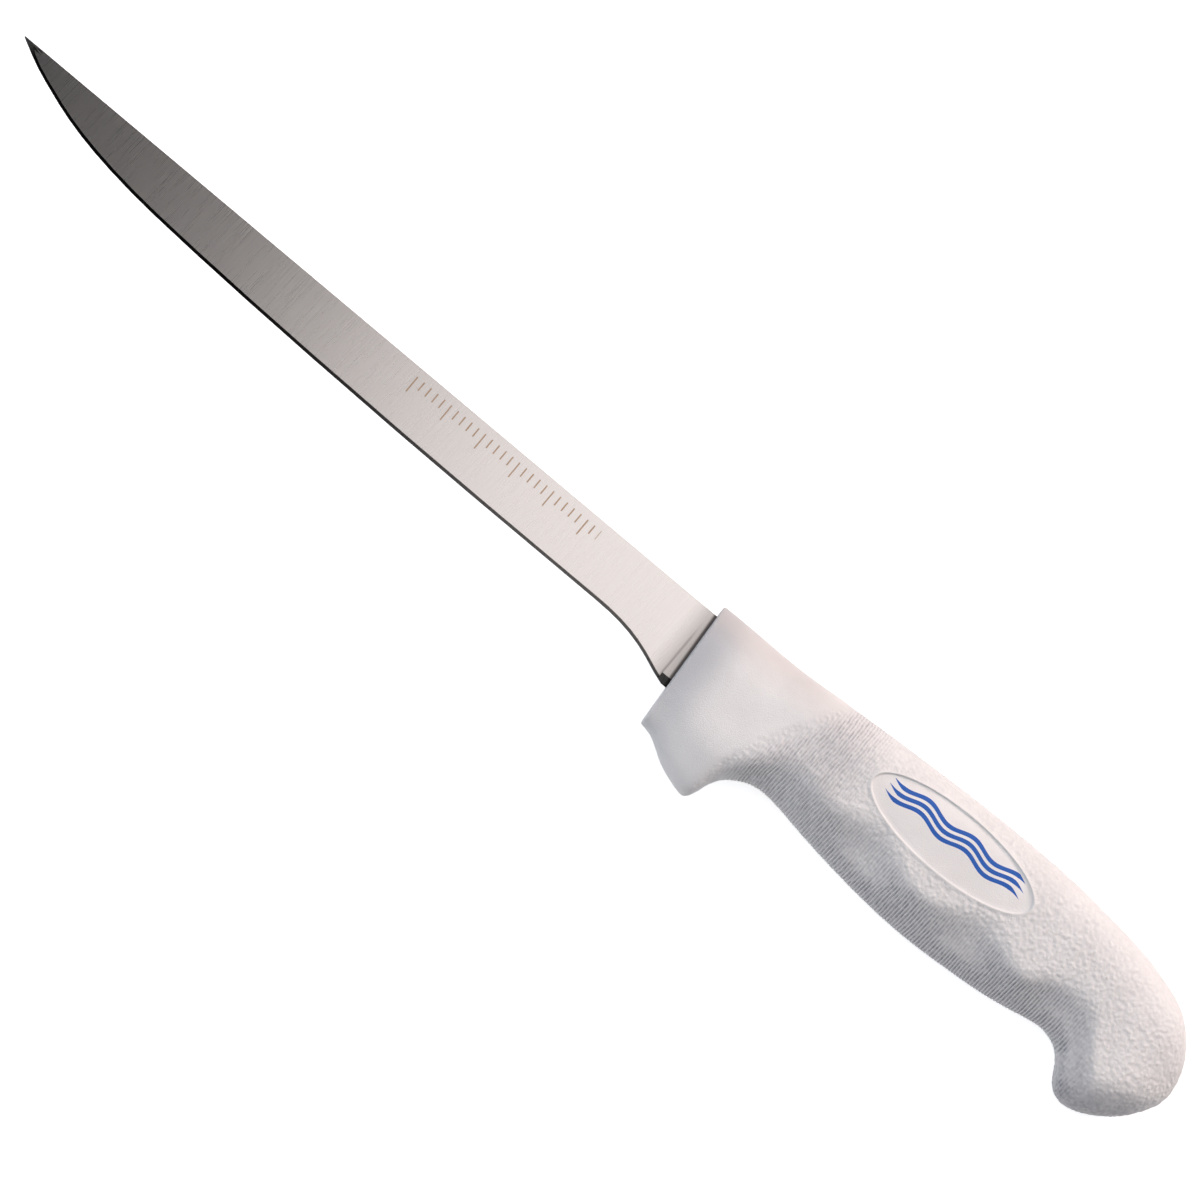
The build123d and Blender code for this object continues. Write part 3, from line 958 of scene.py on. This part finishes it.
# %% Floor
FLOOR_SIZE = 12
FLOOR_LEVEL = -0.0003
PAPER = (0.86, 0.86, 0.87, 1)
NEAR_LIFT, FAR_LIFT = (0.7, 0.7, 0.7, 1), (1, 1, 1, 1)
LIFT_GROWS = (0.25, 1.6)
bpy.ops.object.select_all(action="DESELECT")
bpy.ops.mesh.primitive_plane_add(size=FLOOR_SIZE, location=(0, 0, FLOOR_LEVEL))
floor = bpy.context.object
floor.name = "floor"
floor_finish = bpy.data.materials.new("white_floor")
floor_finish.use_nodes = True
tree = floor_finish.node_tree
tree.nodes.clear()
rays = tree.nodes.new("ShaderNodeLightPath")
camera_ray = Wire(tree, rays.outputs["Is Camera Ray"])
seen_ray = camera_ray.maths("MAXIMUM", camera_ray, Wire(tree, rays.outputs["Is Glossy Ray"]))
place = Wire(tree, tree.nodes.new("ShaderNodeTexCoord").outputs["Object"])
far_off = place.length().ramp(*LIFT_GROWS)
paper = camera_ray.node("ShaderNodeBsdfDiffuse", {"Color": PAPER})
lift = camera_ray.node("ShaderNodeEmission", {"Color": far_off.mix(NEAR_LIFT, FAR_LIFT)})
lifted = camera_ray.node("ShaderNodeAddShader", {0: paper, 1: lift})
floor_look = camera_ray.node("ShaderNodeMixShader", {0: seen_ray, 1: paper, 2: lifted})
output = tree.nodes.new("ShaderNodeOutputMaterial")
tree.links.new(floor_look.socket, output.inputs["Surface"])
floor.data.materials.append(floor_finish)
print("floor", [round(side, 2) for side in floor.dimensions[:2]], "m")

# %% [markdown]
# The air round the knife is white to the camera and dim to the diffuse surfaces. Steel mirrors it bright
# near the horizon and dark overhead, so the blade runs dark towards its point.

# %% Air
SOFT_AIR, SOFT_STRENGTH = (0.92, 0.95, 1, 1), 0.16
WHITE_AIR = (1, 1, 1, 1)
MIRRORED_LOW, LOST_OVERHEAD = 0.8, 0.75
OVERHEAD_STARTS = (0.3, 0.8)
world = bpy.data.worlds.new("studio_air")
bpy.context.scene.world = world
world.use_nodes = True
tree = world.node_tree
tree.nodes.clear()
rays = tree.nodes.new("ShaderNodeLightPath")
camera_ray = Wire(tree, rays.outputs["Is Camera Ray"])
glossy_ray = Wire(tree, rays.outputs["Is Glossy Ray"])
sky = Wire(tree, tree.nodes.new("ShaderNodeTexCoord").outputs["Generated"])
mirrored = MIRRORED_LOW - sky.part("Z").ramp(*OVERHEAD_STARTS) * LOST_OVERHEAD
white = camera_ray.node("ShaderNodeBackground", {"Color": WHITE_AIR, "Strength": 1.0})
soft = camera_ray.node("ShaderNodeBackground", {"Color": SOFT_AIR, "Strength": SOFT_STRENGTH})
gloss = camera_ray.node("ShaderNodeBackground", {"Color": WHITE_AIR, "Strength": mirrored})
seen = glossy_ray.node("ShaderNodeMixShader", {0: glossy_ray, 1: soft, 2: gloss})
seen = camera_ray.node("ShaderNodeMixShader", {0: camera_ray, 1: seen, 2: white})
output = tree.nodes.new("ShaderNodeOutputWorld")
tree.links.new(seen.socket, output.inputs["Surface"])
print(len(tree.nodes), "nodes for the air")

# %% [markdown]
# A warm key light stands beyond the blade's back, so the underside of the grip falls into half shade. A
# large fill hangs overhead, and a cool one stands on the point's side. The steel doesn't mirror the overhead
# fill. A card over the grip is its opposite: it lights nothing and is only mirrored, bright near the heel.


# %% Lights
def soft_light(name, place, aim, size, power, colour):
    """A soft box that faces a point."""
    turn = (Vector(aim) - Vector(place)).to_track_quat("-Z", "Y").to_euler()
    bpy.ops.object.light_add(type="AREA", location=place, rotation=turn)
    light = bpy.context.object
    light.name = name
    light.data.shape = "RECTANGLE"
    light.data.size, light.data.size_y = size
    light.data.energy = power
    light.data.color = colour
    light.visible_camera = False
    return light


soft_light("key_beyond_spine", (0.42, 0.92, 0.5), (0.1, 0, 0), (0.55, 0.55), 9.0, (1, 0.84, 0.77))
fill = soft_light("high_fill", (-0.2, 0.2, 1.5), (0, 0, 0), (1.2, 1.2), 10.5, (0.98, 0.98, 1))
fill.visible_glossy = False
soft_light("cool_side_fill", (-0.85, -0.38, 0.36), (0.1, 0, 0), (0.5, 0.5), 2.4, (0.8, 0.89, 1))
card = soft_light("card_for_steel", (0.2, 0.08, 0.5), (0.2, 0.08, 0), (0.6, 0.44), 1.32, (1, 0.93, 0.91))
card.visible_diffuse = False

# %% [markdown]
# ## Finish
# The view transform is plain, so the colours come out as they are written.

# %% Finish
bpy.context.scene.view_settings.view_transform = "Standard"
